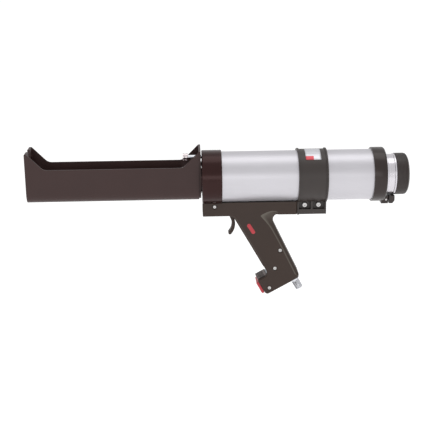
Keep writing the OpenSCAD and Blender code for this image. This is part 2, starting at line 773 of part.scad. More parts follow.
module valve_spring() {
    color("#b8bbbf") translate([valve_spring_x, 0, spool_z]) rotate([0, 90, 0])
        coil(3.4, 0.5, valve_cap_x - valve_spring_x - 0.9, 6);
}

module valve_cap() {
    color("#a9a18c") xcyl(valve_cap_x, valve_end + 1, spool_d / 2, [0, spool_z]);
}

module feed_tube() {
    color("#2b3f66") xring(head_x + 22, valve_x + 8, air_tube_d / 2, air_tube_d / 2 - 1,
                           [transfer_y, feed_z]);
}

module supply_tube() {
    color("#2b3f66") difference() {
        drop_cyl(supply_t, supply_k0, manifold_k[0] + 5, air_tube_d / 2);
        drop_cyl(supply_t, supply_k0 - 1, manifold_k[0] + 6, air_tube_d / 2 - 1);
    }
}

module exhaust_filter() {
    color("#b79b63") xcyl(valve_end + 1.2, valve_end + 7.5, 5, [0, spool_z]);
}

module inlet_manifold() {
    p = foot(manifold_t[0], manifold_k[1]);
    color("#8f9296") difference() {
        translate([p[0], -9, p[1]]) rotate([0, -grip_lean, 0])
            cube([manifold_t[1] - manifold_t[0], 18, manifold_k[1] - manifold_k[0]]);
        drop_cyl(nipple_t, manifold_k[1] - 10, manifold_k[1] + 1, 5 + run_fit);
        drop_cyl(nipple_t, manifold_k[1] - 17, manifold_k[1] + 1, 2.5);
        drop_cyl(supply_t, manifold_k[0] - 1, manifold_k[0] + 5, air_tube_d / 2 + run_fit);
        foot_cyl(manifold_t[0] - 1, manifold_t[0] + 6, neck_k, 3);
    }
}

module inlet_nipple() {
    hex_k = foot_h + 0.2;
    thread_k = foot_h + 5.5;
    relief = 1.2;
    color("#b4bcc8") difference() {
        union() {
            drop_cyl(nipple_t, manifold_k[1] - 9, hex_k + 1, 5);
            drop_cyl(nipple_t, hex_k, thread_k, nipple_r + 1.5, sides = 6);
            drop_cyl(nipple_t, thread_k - e, thread_k + relief + e, nipple_r - 1);
            drop_cyl(nipple_t, thread_k + relief, thread_k + nipple_len, nipple_r);
        }
        drop_cyl(nipple_t, manifold_k[1] - 10, thread_k + nipple_len + 1, 3.2);
    }
}

module regulator_body() {
    color("#3a3a3c") difference() {
        union() {
            foot_cyl(reg_body_t[0], reg_body_t[1], 0, reg_knob_d / 2 - 1);
            foot_cyl(reg_body_t[1] - 1, manifold_t[0] - 0.1, neck_k, 4);
        }
        foot_cyl(reg_body_t[0] - 1, reg_body_t[0] + 8, 0, reg_spindle_d / 2 + run_fit);
    }
}

module regulator_knob() {
    ribs = 24;
    color("#8c8583") difference() {
        foot_cyl(0, reg_knob_len, 0, reg_knob_d / 2);
        foot_cyl(-1, reg_knob_len + 1, 0, reg_spindle_d / 2 + 0.02);
        for (i = [0:ribs - 1]) {
            p = foot(-1, 0);
            translate([p[0], 0, p[1]]) rotate([0, 90 - grip_lean, 0])
                rotate([0, 0, 360 * i / ribs]) translate([reg_knob_d / 2 + 0.2, 0, 0])
                    cylinder(h = reg_knob_len + 2, r = 0.7, $fn = 16);
        }
    }
}

module regulator_spindle() {
    color("#b5b5b8") foot_cyl(0.8, reg_body_t[0] + 7, 0, reg_spindle_d / 2);
}

module foot_cap() {
    low = foot_h - 4.5;
    high = 0.6;
    half = 15.5;
    r = 4;
    p = foot(-0.2, 0);
    color("#c03c46") {
        translate([p[0], 0, p[1]]) rotate([0, -90 - grip_lean, 0])
            linear_extrude(foot_cap_t) hull()
                for (a = [-low + r, -high - r], b = [-half + r, half - r]) translate([a, b]) circle(r);
        foot_cap_clip();
    }
}

module selector_knob() {
    r = knob_d / 2;
    x0 = ring_end + 0.2;
    color("#4d4341") difference() {
        rotate([0, 90, 0]) rotate_extrude() polygon(concat(
            [[0, x0], [r - 0.4, x0], [r, x0 + 0.4], [r, knob_end - 5.4], [r - 0.9, knob_end - 4.8],
             [r - 0.9, knob_end - 4]],
            arc([r - 4.4, knob_end - 3.5], 3.5, 0, 90, 6),
            [[r - 9, knob_end], [r - 10, knob_end - 1.5], [0, knob_end - 1.5]]));
        xcyl(x0 - e, x0 + 12, knob_spindle_d / 2);
        xcyl(x0 - e, knob_end + 1, 2.5 + seat_fit);
        xcyl(knob_end - 5, knob_end + 1, 4.6);
    }
}

module selector_spindle() {
    color("#b9b9bc") difference() {
        xcyl(tube_end - 1.5, ring_end + 12.2, knob_spindle_d / 2);
        xcyl(ring_end + 2, ring_end + 13, 2.5);
    }
}

module knob_screw() {
    color("#bdbbb9") difference() {
        union() {
            xcyl(knob_end - 5, knob_end - 1.6, 4.4);
            xcyl(ring_end + 3, knob_end - 5 + e, 2.5);
        }
        translate([knob_end - 3.5, 0, 0]) rotate([0, 90, 0]) cylinder(h = 4, r = 2.2, $fn = 6);
    }
}

module knob_latch() {
    pad_top = -ring_d / 2 - 1.1;
    color("#4a403e") difference() {
        union() {
            side_plate(-2.5, 2.5) {
                translate(latch_pin_at) circle(3.2);
                translate([latch_pin_at[0], -tube_r - 3]) square([6, 6]);
            }
            span([cap_end + 8.5, -latch_ear_w / 2, -tube_r - 6],
                 [ring_end + 1.5, latch_ear_w / 2, pad_top]);
        }
        ycyl(latch_pin_at, -4, 4, latch_pin_r + run_fit);
        side_plate(-latch_ear_w, latch_ear_w) polygon([
            [ring_end + 2, -tube_r - 7], [ring_end + 2, -tube_r - 1], [ring_end - 2.5, -tube_r - 7]]);
    }
}

module latch_pin() {
    color("#b5b5b8") ycyl(latch_pin_at, -latch_ear_w / 2 + 0.5, latch_ear_w / 2 - 0.5, latch_pin_r);
}

module latch_spring() {
    color("#b8bbbf") translate([latch_pin_at[0], 2.95, latch_pin_at[1]]) rotate([-90, 0, 0])
        coil(2.2, 0.3, 1.7, 2);
}

cartridge_tray();
tray_front_plate();
tray_shoe();
tray_rear_plate();
tray_screws();
front_head();
cylinder_tube();
cylinder_gaskets();
end_cap();
cap_ring();
main_rod_bush();
small_rod_bush();
rod_seals();
transfer_tube();
piston();
piston_seals();
piston_guide_ring();
rod_nut();
main_rod();
small_rod();
main_pusher();
small_pusher();
pusher_screw();
clamp_band();
clamp_screws();
clamp_nuts();
rating_plate();
grip_shell_left();
grip_shell_right();
shell_screws();
head_screw();
grip_badges();
trigger();
trigger_pin();
valve_body();
valve_spool();
spool_seals();
valve_spring();
valve_cap();
feed_tube();
supply_tube();
exhaust_filter();
inlet_manifold();
inlet_nipple();
regulator_body();
regulator_knob();
regulator_spindle();
foot_cap();
selector_knob();
selector_spindle();
knob_screw();
knob_latch();
latch_pin();
latch_spring();
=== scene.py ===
"""Surfaces, finishes, floor, lights and camera of an air-powered caulking gun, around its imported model.

Lengths in the helpers are millimetres. X runs to the rear, Z up, and the user's left side is -Y.
"""
import json
import math

import bmesh
import bpy
import numpy as np
from mathutils import Matrix, Vector


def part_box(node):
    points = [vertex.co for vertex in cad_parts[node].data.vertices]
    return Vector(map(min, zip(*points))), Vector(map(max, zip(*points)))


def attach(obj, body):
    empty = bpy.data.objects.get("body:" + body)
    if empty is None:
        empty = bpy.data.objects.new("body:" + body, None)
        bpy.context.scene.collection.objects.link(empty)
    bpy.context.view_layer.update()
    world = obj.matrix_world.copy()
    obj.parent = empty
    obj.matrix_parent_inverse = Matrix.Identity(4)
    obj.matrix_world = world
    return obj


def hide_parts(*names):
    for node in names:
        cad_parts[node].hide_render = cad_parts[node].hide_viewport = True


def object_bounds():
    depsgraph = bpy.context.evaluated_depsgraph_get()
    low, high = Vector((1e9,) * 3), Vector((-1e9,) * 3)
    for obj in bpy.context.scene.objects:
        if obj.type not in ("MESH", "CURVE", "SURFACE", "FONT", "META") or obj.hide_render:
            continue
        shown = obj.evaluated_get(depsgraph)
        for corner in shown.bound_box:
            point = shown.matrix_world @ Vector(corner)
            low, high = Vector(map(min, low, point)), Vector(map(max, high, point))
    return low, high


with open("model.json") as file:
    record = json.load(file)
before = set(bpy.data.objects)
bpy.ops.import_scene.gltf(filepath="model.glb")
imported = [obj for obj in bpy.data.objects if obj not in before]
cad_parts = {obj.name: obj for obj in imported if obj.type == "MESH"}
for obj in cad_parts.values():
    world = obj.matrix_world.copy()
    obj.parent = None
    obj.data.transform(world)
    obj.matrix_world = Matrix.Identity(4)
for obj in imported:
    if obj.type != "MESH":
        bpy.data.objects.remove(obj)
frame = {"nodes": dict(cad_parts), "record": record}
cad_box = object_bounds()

bl_info = {
    "name": "Caulking gun surfaces",
    "version": (1, 0, 0),
    "blender": (4, 5, 0),
    "location": "3D View > Sidebar > Caulking gun",
    "description": "Makes the visible surfaces and finishes of an air-powered caulking gun",
    "category": "Object",
}

MM = 0.001
# The foot leans by this angle. What sits in it is laid out from the regulator knob's front: t runs to the
# rear along the knob's line, and k down, square to it.
LEAN = math.radians(28.8)
KNOB_LENGTH = 16.5
# The inlet nipple's line, as a t.
INLET_T = 51.7
# Thickness of the tray's sheet and of the rating plate.
SHEET, FOIL = 2.0, 0.45


def linear(code):
    """An sRGB hex colour, such as 443A39, as linear red, green, blue and alpha."""
    c = np.array([int(code[i:i + 2], 16) for i in (0, 2, 4)]) / 255
    return (*np.where(c <= 0.04045, c / 12.92, ((c + 0.055) / 1.055) ** 2.4).tolist(), 1.0)


def node_box(node):
    """Lowest and highest corner of a CAD node at rest, in mm."""
    low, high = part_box(node)
    return np.array(low) / MM, np.array(high) / MM


def centre_of(node):
    """The middle [x, z] of a CAD node as seen from the side, in mm."""
    low, high = node_box(node)
    return ((low + high) / 2)[[0, 2]]


# ---------------------------------------------------------------- places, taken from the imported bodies

def places():
    """The lines and planes that the new surfaces are laid out from, in mm, read off the CAD nodes."""
    shell_low = node_box("grip_shell_left")[0]
    pivot = centre_of("trigger_pin")
    return {
        "pivot": pivot,
        "grip_x": pivot[0] + 1,
        "beam_z": pivot[1] - 14,
        "foot": centre_of("regulator_knob") - KNOB_LENGTH / 2 * np.array([math.cos(LEAN), math.sin(LEAN)]),
        "half_w": -shell_low[1],
        "beam_x": shell_low[0],
        "beam_end": node_box("clamp_band")[0][0] - 0.3,
        "tube_r": node_box("cylinder_tube")[1][2],
    }


PLACE = places()


def foot(t, k):
    """A point [x, z] of the foot's own frame: t runs rearward from the regulator knob's front, k down."""
    return PLACE["foot"] + np.array([t * math.cos(LEAN) + k * math.sin(LEAN),
                                     t * math.sin(LEAN) - k * math.cos(LEAN)])


# ---------------------------------------------------------------- surfaces on a grid

def arc(centre, radius, a0, a1, steps=8):
    """Points at angles a0 to a1, in degrees, on a circle: centre + radius (cos a, sin a)."""
    a = np.radians(np.linspace(a0, a1, steps + 1))
    return np.array(centre) + radius * np.stack([np.cos(a), np.sin(a)], -1)


def soften(points, radius, closed=False, steps=4):
    """Each corner P becomes a curve (1-s)^2 A + 2 s (1-s) P + s^2 B, where A and B lie on its two sides at
    the radius from it, or at half the side where that is shorter."""
    p = np.asarray(points, float)
    to_last, to_next = np.roll(p, 1, 0) - p, np.roll(p, -1, 0) - p
    radius = np.broadcast_to(np.asarray(radius, float), len(p)).copy()
    if not closed:
        radius[[0, -1]] = 0
    ends = []
    for side in (to_last, to_next):
        length = np.maximum(np.linalg.norm(side, axis=1), 1e-9)
        ends.append(p + side * (np.minimum(radius, length / 2) / length)[:, None])
    s = np.linspace(0, 1, steps + 1)[None, :, None]
    curve = (1 - s) ** 2 * ends[0][:, None] + 2 * s * (1 - s) * p[:, None] + s ** 2 * ends[1][:, None]
    return curve.reshape(-1, 2)


def evenly(outline, pitch):
    """A closed outline as points at one pitch along its length, which keeps its shape to within the pitch."""
    p = np.vstack([outline, outline[:1]])
    step = np.linalg.norm(np.diff(p, axis=0), axis=1)
    at = np.concatenate([[0], np.cumsum(step)])
    s = np.linspace(0, at[-1], int(at[-1] / pitch), endpoint=False)
    return np.stack([np.interp(s, at, p[:, 0]), np.interp(s, at, p[:, 1])], -1)


def inward(outline):
    """The inward miter vector at each point of a closed outline: the sum of its two sides' unit normals,
    divided by one plus their product, so that a step along it moves both sides by the same distance."""
    d = np.roll(outline, -1, 0) - outline
    d = d / np.maximum(np.linalg.norm(d, axis=1), 1e-9)[:, None]
    area = np.sum(outline[:, 0] * np.roll(outline[:, 1], -1) - outline[:, 1] * np.roll(outline[:, 0], -1))
    n = np.stack([-d[:, 1], d[:, 0]], -1) * np.sign(area)
    before = np.roll(n, 1, 0)
    return (n + before) / np.maximum(1 + np.sum(n * before, 1), 0.4)[:, None]


def grid_faces(rows, cols, wrap=True):
    """Quads between the neighbours of a rows x cols grid; wrap joins its last column to its first."""
    i, j = np.meshgrid(np.arange(rows - 1), np.arange(cols if wrap else cols - 1), indexing="ij")
    k = (j + 1) % cols
    return np.stack([i * cols + j, i * cols + k, (i + 1) * cols + k, (i + 1) * cols + j], -1).reshape(-1, 4)


def turned(profile, steps=144, centre=(0, 0), ripple=None):
    """A profile of (x, r) carried round a line along X: (x, cy + r sin a, cz + r cos a) for a from 0 to a
    full turn. ripple(x, a) gives what is taken off the radius. Returns points and faces."""
    p = np.asarray(profile, float)
    a = np.linspace(0, 2 * np.pi, steps, endpoint=False)[None, :]
    x = np.repeat(p[:, :1], steps, 1)
    r = np.repeat(p[:, 1:], steps, 1)
    if ripple is not None:
        r = np.maximum(r - ripple(x, a + 0 * x), 0)
    grid = np.stack([x, centre[0] + r * np.sin(a), centre[1] + r * np.cos(a)], -1)
    return grid.reshape(-1, 3), grid_faces(len(p), steps).tolist()


def carried(outline, insets, levels, towards=None):
    """A closed outline in (x, z) carried across Y: ring j is the outline moved by insets[j] and put at
    y = levels[j], each one number or one for each point. The move is inwards, square to the sides, unless
    towards gives each point its own direction. One face closes each end."""
    m = inward(outline) if towards is None else towards
    rings = []
    for inset, level in zip(insets, levels):
        ring = outline + m * np.broadcast_to(np.asarray(inset, float), len(outline))[:, None]
        y = np.broadcast_to(np.asarray(level, float), len(outline))
        rings.append(np.stack([ring[:, 0], y, ring[:, 1]], -1))
    count, size = len(rings), len(outline)
    faces = grid_faces(count, size).tolist()
    faces += [list(range(size))[::-1], list(range((count - 1) * size, count * size))]
    return np.concatenate(rings), faces


def in_foot(points):
    """Points laid out along X turned into the foot's frame: x along t, z against k."""
    p = np.asarray(points, float)
    base, c, s = PLACE["foot"], math.cos(LEAN), math.sin(LEAN)
    return np.stack([base[0] + c * p[:, 0] - s * p[:, 2], p[:, 1],
                     base[1] + s * p[:, 0] + c * p[:, 2]], -1)


def down_in_foot(points, t):
    """Points laid out along X turned to run down the foot's frame on the line t: x along k, z along t."""
    p = np.asarray(points, float)
    base, c, s = PLACE["foot"], math.cos(LEAN), math.sin(LEAN)
    return np.stack([base[0] + (t + p[:, 2]) * c + p[:, 0] * s, p[:, 1],
                     base[1] + (t + p[:, 2]) * s - p[:, 0] * c], -1)


# ---------------------------------------------------------------- pieces

def plain_object(name, points, faces):
    """An object at the origin with its points given in mm."""
    mesh = bpy.data.meshes.new(name)
    mesh.from_pydata((np.asarray(points) * MM).tolist(), [], faces)
    mesh.update()
    obj = bpy.data.objects.new(name, mesh)
    bpy.context.scene.collection.objects.link(obj)
    return obj


def mesh_object(name, points, faces, smooth=35, painted_highlight=None):
    """A closed object with doubles merged, faces turned outwards, and edges sharper than an angle in degrees
    left sharp. The last argument is how much painted highlight each point takes, from 0 to 1, kept as an
    attribute."""
    obj = plain_object(name, points, faces)
    mesh = obj.data
    if painted_highlight is not None:
        kept = mesh.attributes.new("painted_highlight", "FLOAT", "POINT")
        kept.data.foreach_set("value", np.ascontiguousarray(painted_highlight))
    bm = bmesh.new()
    bm.from_mesh(mesh)
    bmesh.ops.remove_doubles(bm, verts=bm.verts, dist=1e-6)
    bmesh.ops.dissolve_degenerate(bm, edges=bm.edges, dist=1e-7)
    bmesh.ops.recalc_face_normals(bm, faces=bm.faces)
    bm.to_mesh(mesh)
    bm.free()
    mesh.shade_smooth()
    mesh.set_sharp_from_angle(angle=math.radians(smooth))
    return obj


def sheet_object(name, points, faces, thickness, flip):
    """A surface without thickness made into a sheet that grows inwards from it. flip(mesh) tells whether the
    faces look the wrong way."""
    obj = plain_object(name, points, faces)
    if flip(obj.data):
        obj.data.flip_normals()
    obj.data.shade_smooth()
    wall = obj.modifiers.new("sheet", "SOLIDIFY")
    wall.thickness, wall.offset = thickness * MM, -1
    return obj


def stands_for(obj, body, *nodes):
    """The object moves with the body, stands for those CAD nodes and takes the first one's finish."""
    if not obj.data.polygons:
        raise RuntimeError(f"{obj.name} came out empty")
    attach(obj, body)
    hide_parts(*nodes)
    obj.data.materials.clear()
    obj.data.materials.append(material(SLOT_OF[nodes[0]]))


def even_shading(obj):
    """Large flat faces keep their own direction, and only the narrow faces beside them blend."""
    mod = obj.modifiers.new("even_shading", "WEIGHTED_NORMAL")
    mod.keep_sharp = True
    mod.weight = 90
    return obj


def cut(obj, cutters):
    """Takes the cutters' solids out of the object for good, and removes the cutters."""
    for cutter in cutters:
        mod = obj.modifiers.new("cut", "BOOLEAN")
        mod.operation, mod.solver, mod.object = "DIFFERENCE", "EXACT", cutter
    graph = bpy.context.evaluated_depsgraph_get()
    mesh = bpy.data.meshes.new_from_object(obj.evaluated_get(graph))
    obj.modifiers.clear()
    obj.data = mesh
    for cutter in cutters:
        bpy.data.objects.remove(cutter)
    mesh.shade_smooth()
    mesh.set_sharp_from_angle(angle=math.radians(30))


def rounded_copy(node, width):
    """A copy of a CAD node with its flat faces joined and its edges rounded over by the width in mm."""
    angle = math.radians(32)
    source = frame["nodes"][node]
    obj = bpy.data.objects.new(node + "_surface", source.data.copy())
    bpy.context.scene.collection.objects.link(obj)
    bm = bmesh.new()
    bm.from_mesh(obj.data)
    bmesh.ops.remove_doubles(bm, verts=bm.verts, dist=2e-6)
    bmesh.ops.dissolve_limit(bm, angle_limit=math.radians(0.6), verts=bm.verts, edges=bm.edges,
                             delimit={"NORMAL"})
    bm.to_mesh(obj.data)
    bm.free()
    obj.data.shade_smooth()
    obj.data.set_sharp_from_angle(angle=angle)
    mod = obj.modifiers.new("rounded_edges", "BEVEL")
    mod.width, mod.segments = width * MM, 2
    mod.limit_method, mod.angle_limit = "ANGLE", angle
    mod.harden_normals = True
    mod.use_clamp_overlap = True
    body = next(b for b, members in frame["record"]["behaviour"]["bodies"].items() if node in members)
    stands_for(obj, body, node)


# ---------------------------------------------------------------- sizes and colours a user may change

def size(name, text, default, low, high):
    """A length in metres shown in the scene's units, from its value in mm."""
    return bpy.props.FloatProperty(name=name, description=text, default=default * MM, min=low * MM,
                                   max=high * MM, unit="LENGTH", precision=5)


def colour(name, text, code):
    """A colour from its sRGB hex value."""
    return bpy.props.FloatVectorProperty(name=name, description=text, subtype="COLOR", size=4,
                                         default=linear(code), min=0, max=1)


class CaulkingGunSizes(bpy.types.PropertyGroup):
    """Small sizes that only the surface has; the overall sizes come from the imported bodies."""
    sheet_edge: size("Sheet edge", "Rounding of the tray's sheet edges", 0.6, 0.1, 0.9)
    turned_edge: size("Turned edge", "Rounding of the turned parts' edges", 0.5, 0.1, 1)
    groove_pitch: size("Knob groove pitch", "Distance between the knob's fine grooves", 2.1, 1, 4)
    groove_depth: size("Knob groove depth", "Depth of the knob's fine grooves", 0.28, 0, 0.6)
    strap_width: size("Back strap width", "Width of the slope beside the grip's rear edge", 5.6, 2, 8)
    web_width: size("Web width", "Width of the slope where the grip meets the beam", 27, 6, 32)
    strap_depth: size("Back strap depth", "How far the rear slope falls away from the side", 5, 1, 8)
    shell_edge: size("Shell edge", "Rounding of the shells' other edges", 1.1, 0.3, 2)
    shell_gap: size("Shell gap", "Gap between the shells and the cylinder", 2.2, 0.2, 3)
    trigger_edge: size("Trigger edge", "Rounding of the trigger's blade", 1.5, 0.4, 2.4)
    thread_pitch: size("Thread pitch", "Pitch of the inlet nipple's thread", 1.337, 0.8, 2)
    thread_depth: size("Thread depth", "Depth of the inlet nipple's thread", 0.5, 0.1, 0.9)


class CaulkingGunColours(bpy.types.PropertyGroup):
    """Base colours of the finishes."""
    tray_paint: colour("Tray paint", "Powder coat on the tray", "35211F")
    bronze: colour("Dark bronze", "Anodised front head", "2E1412")
    silver: colour("Silver", "Anodised cylinder tube", "C9C7CC")
    cap: colour("End cap", "Anodised end cap", "22130F")
    clamp_nylon: colour("Clamp nylon", "Clamp, knob and latch", "2C2320")
    grip_nylon: colour("Grip nylon", "Grip shells and trigger", "31221A")
    red: colour("Red", "Badges and foot cap", "B02C36")


def sizes():
    """The sizes in mm, by name."""
    group = bpy.context.scene.caulking_gun_sizes
    return {name: getattr(group, name) / MM for name in group.__annotations__}


# ---------------------------------------------------------------- finishes

SLOT_OF = {part["node"]: part["material_slot"] for part in frame["record"]["subparts"]}


def add(tree, kind, sockets=None, **settings):
    """Adds a node: settings are its own properties, and sockets gives each input a value or a link."""
    node = tree.nodes.new(kind)
    for name, value in settings.items():
        setattr(node, name, value)
    for name, value in (sockets or {}).items():
        if isinstance(value, bpy.types.NodeSocket):
            tree.links.new(value, node.inputs[name])
        else:
            node.inputs[name].default_value = value
    return node


def blend(tree, factor, a, b):
    """A colour that goes from a to b with the factor. A Mix node keeps its colours in inputs 6 and 7, and
    gives the result in output 2."""
    return add(tree, "ShaderNodeMix", {"Factor": factor, 6: a, 7: b}, data_type="RGBA").outputs[2]


def surface(name, colours, rough, metallic=0.0, grain=1.0, stretch=(1, 1, 1), depth=0.02, coat=0.0,
            patch=30.0, ior=None, spread=0.5, painted_highlight=None):
    """A finish from two noises on Object coordinates. A fine one of the grain's size in mm, drawn out by
    stretch, raises the surface by depth in mm and moves the roughness between its two values. A broad one
    of the patch's size in mm, with a share of the fine one, moves the colour between its two values.
    Where the mesh's attribute asks for it, the colour goes over to a lighter one: painted highlight that
    stands in for light falling on those places."""
    mat = bpy.data.materials.new(name)
    mat.use_nodes = True
    tree = mat.node_tree
    tree.nodes.clear()
    place = add(tree, "ShaderNodeTexCoord").outputs["Object"]
    drawn = add(tree, "ShaderNodeMapping", {"Vector": place, "Scale": stretch}).outputs["Vector"]
    fine = add(tree, "ShaderNodeTexNoise", {"Vector": drawn, "Scale": 1 / (grain * MM), "Detail": 2.0,
                                            "Roughness": 0.55}).outputs["Fac"]
    broad = add(tree, "ShaderNodeTexNoise", {"Vector": place, "Scale": 1 / (patch * MM), "Detail": 3.0}
                ).outputs["Fac"]
    both = add(tree, "ShaderNodeMix", {"Factor": spread, "A": broad, "B": fine}).outputs["Result"]
    ramp = add(tree, "ShaderNodeMapRange", {"Value": both, "From Min": 0.36, "From Max": 0.64})
    tint = blend(tree, ramp.outputs["Result"], *colours)
    # Painted highlight: where the mesh's attribute says, a lighter colour is mixed in for light caught on the
    # grip's ridge and web.
    if painted_highlight:
        highlight_share = add(tree, "ShaderNodeAttribute", attribute_name="painted_highlight").outputs["Fac"]
        tint = blend(tree, highlight_share, tint, painted_highlight)
    gloss = add(tree, "ShaderNodeMapRange", {"Value": fine, "From Min": 0.3, "From Max": 0.7,
                                             "To Min": rough[0], "To Max": rough[1]}).outputs["Result"]
    relief = add(tree, "ShaderNodeBump", {"Height": fine, "Distance": depth * MM, "Strength": 1.0})
    shader = add(tree, "ShaderNodeBsdfPrincipled", {
        "Base Color": tint, "Roughness": gloss, "Normal": relief.outputs["Normal"],
        "Metallic": metallic})
    if ior:
        shader.inputs["IOR"].default_value = ior
    if coat:
        shader.inputs["Coat Weight"].default_value = coat
        shader.inputs["Coat Roughness"].default_value = 0.12
    add(tree, "ShaderNodeOutputMaterial", {"Surface": shader.outputs["BSDF"]})
    return mat


def shade(rgba, factor):
    """The same colour, lighter or darker by the factor."""
    return (*[min(1.0, c * factor) for c in rgba[:3]], 1.0)


def pair(rgba, spread):
    """A colour's darker and lighter neighbours."""
    return shade(rgba, 1 - spread), shade(rgba, 1 + spread)


# Lathe marks run round a part turned on X, so their pattern changes quickly along X and slowly across it.
LATHE = (1.0, 0.03, 0.03)
# Drawn and extruded parts have lines along X.
DRAWN = (0.02, 1.0, 1.0)


def finishes():
    """What surface is given for each material slot of the record."""
    c = bpy.context.scene.caulking_gun_colours
    return {
        # Satin powder coat on sheet steel: a soft orange peel about 1 mm across, half matt.
        "tray_paint": dict(name="satin_powder_coat", colours=pair(c.tray_paint, 0.07), rough=(0.36, 0.5),
            grain=1.1, depth=0.02, ior=1.4, patch=45),
        # Zinc-plated steel: bright, slightly mottled, with fine machining lines too small to show.
        "zinc_steel": dict(name="zinc_plated_steel", colours=pair(linear("C9C7C6"), 0.08),
            rough=(0.22, 0.36), metallic=1.0, grain=0.8, depth=0.004, patch=6),
        # Dark bronze anodising on turned aluminium: glossy, with faint lathe marks round it.
        "bronze_anodised": dict(name="dark_bronze_anodised_aluminium", colours=pair(c.bronze, 0.06),
            rough=(0.2, 0.26), metallic=0.5, grain=0.9, stretch=LATHE, depth=0.0008, ior=1.4, coat=0.06,
            patch=60, spread=0.25),
        # Satin silver anodising on drawn tube: pale, even, with soft lines along the tube.
        "silver_anodised": dict(name="satin_silver_anodised_aluminium", colours=pair(c.silver, 0.025),
            rough=(0.36, 0.46), metallic=0.75, grain=0.7, stretch=DRAWN, depth=0.003, patch=60),
        # Moulded nitrile rubber: black and matt.
        "nitrile_rubber": dict(name="moulded_nitrile_rubber", colours=pair(linear("1E1D1C"), 0.15),
            rough=(0.6, 0.75), grain=0.5, depth=0.01, ior=1.52),
        # Dark anodised turned aluminium: satin, with lathe marks.
        "dark_anodised": dict(name="dark_anodised_aluminium", colours=pair(c.cap, 0.1), rough=(0.28, 0.36),
            metallic=0.35, grain=0.8, stretch=LATHE, depth=0.001, patch=40, ior=1.6, coat=0.1),
        # Bright turned aluminium: clear, with visible lathe marks about 0.5 mm apart.
        "turned_aluminium": dict(name="bright_turned_aluminium", colours=pair(linear("D6D3D8"), 0.06),
            rough=(0.16, 0.3), metallic=1.0, grain=0.5, stretch=LATHE, depth=0.001, patch=30),
        # Sintered bronze: warm and porous.
        "bearing_bronze": dict(name="sintered_bronze", colours=pair(linear("B08A4E"), 0.12),
            rough=(0.35, 0.5), metallic=1.0, grain=0.4, depth=0.01, patch=8),
        # Machined aluminium as it leaves the mill.
        "plain_aluminium": dict(name="machined_aluminium", colours=pair(linear("B9BDC2"), 0.06),
            rough=(0.25, 0.4), metallic=1.0, grain=0.6, stretch=LATHE, depth=0.004, patch=20),
        # Ground and hard-chromed rod: nearly a mirror, with fine lines round it.
        "hard_chrome": dict(name="hard_chrome", colours=pair(linear("D5D6DA"), 0.03), rough=(0.07, 0.14),
            metallic=1.0, grain=0.5, stretch=LATHE, depth=0.0015, patch=25),
        # Turned and nickel-plated disc: bright and a little warm.
        "plated_pusher": dict(name="nickel_plated_steel", colours=pair(linear("D8CFD0"), 0.05),
            rough=(0.16, 0.28), metallic=1.0, grain=0.6, depth=0.003, patch=15),
        # Machined acetal: off white and waxy.
        "bearing_plastic": dict(name="machined_acetal", colours=pair(linear("DEDBD2"), 0.03),
            rough=(0.35, 0.45), grain=0.6, depth=0.005, ior=1.48),
        # Glass-filled nylon: dark, with a faint streak of fibre and a satin skin.
        "clamp_nylon": dict(name="glass_filled_nylon", colours=pair(c.clamp_nylon, 0.09),
            rough=(0.38, 0.52), grain=0.9, depth=0.018, ior=1.53, patch=18),
        # Nylon moulded against a spark-eroded tool: a fine even texture, nearly matt.
        # The lighter colour given last is a painted highlight: light caught on the back strap's ridge and on
        # the web, painted into the colour.
        "grip_nylon": dict(name="textured_nylon", colours=pair(c.grip_nylon, 0.07), rough=(0.46, 0.6),
            grain=0.7, depth=0.035, ior=1.43, patch=35, painted_highlight=linear("5E5850")),
        # Glossy moulded ABS.
        "red_plastic": dict(name="red_abs", colours=pair(c.red, 0.06), rough=(0.26, 0.36), grain=1.2,
            depth=0.006, ior=1.53, patch=12),
        # Brushed foil plate: pale and satin, with its brushing along the plate.
        "plate_foil": dict(name="brushed_foil", colours=pair(linear("D2D2D7"), 0.04), rough=(0.3, 0.42),
            metallic=0.6, grain=0.5, stretch=DRAWN, depth=0.002, patch=10),
        # Extruded polyurethane tube.
        "tube_blue": dict(name="blue_polyurethane", colours=pair(linear("2A3E66"), 0.08),
            rough=(0.25, 0.35), grain=0.8, depth=0.004, ior=1.5),
        # Moulded grey nylon with a light satin skin.
        "knob_grey": dict(name="grey_nylon", colours=pair(linear("8D8583"), 0.08), rough=(0.36, 0.48),
            grain=0.7, depth=0.01, ior=1.53, patch=10),
        # Drawn spring wire.
        "spring_steel": dict(name="spring_steel", colours=pair(linear("B6B8BC"), 0.05), rough=(0.2, 0.3),
            metallic=1.0, grain=0.4, depth=0.002),
    }


def divide_plate(mat):
    """Divides the plate's foil into blank fields by the plate's own UV map, which runs 0 to 1 along and up
    it: a red block fills the lower corner, and thin grey rules cross the part above it."""
    tree = mat.node_tree
    shader = next(n for n in tree.nodes if n.type == "BSDF_PRINCIPLED")
    foil = shader.inputs["Base Color"].links[0].from_socket

    def maths(operation, a, b=0.0):
        return add(tree, "ShaderNodeMath", {0: a, 1: b}, operation=operation).outputs[0]

    uv = add(tree, "ShaderNodeUVMap", uv_map="plate").outputs["UV"]
    split = add(tree, "ShaderNodeSeparateXYZ", {"Vector": uv})
    along, up = split.outputs["X"], split.outputs["Y"]
    block = maths("MULTIPLY", maths("LESS_THAN", along, 0.52), maths("LESS_THAN", up, 0.24))
    fields = blend(tree, block, foil, linear("C4525A"))
    rule = maths("LESS_THAN", maths("FRACT", maths("MULTIPLY", up, 7.0)), 0.12)
    line = maths("MULTIPLY", rule, maths("GREATER_THAN", up, 0.3))
    tree.links.new(blend(tree, line, fields, linear("A3A3A8")), shader.inputs["Base Color"])


MADE = {}


def material(slot):
    """The finish of a material slot, made once."""
    if slot not in MADE:
        MADE[slot] = surface(**finishes()[slot])
        if slot == "plate_foil":
            divide_plate(MADE[slot])
    return MADE[slot]


def finish_node(name):
    """Gives a CAD node that stays its slot's finish."""
    obj = frame["nodes"][name]
    obj.data.materials.clear()
    obj.data.materials.append(material(SLOT_OF[name]))


# ---------------------------------------------------------------- shapes of this gun's pieces

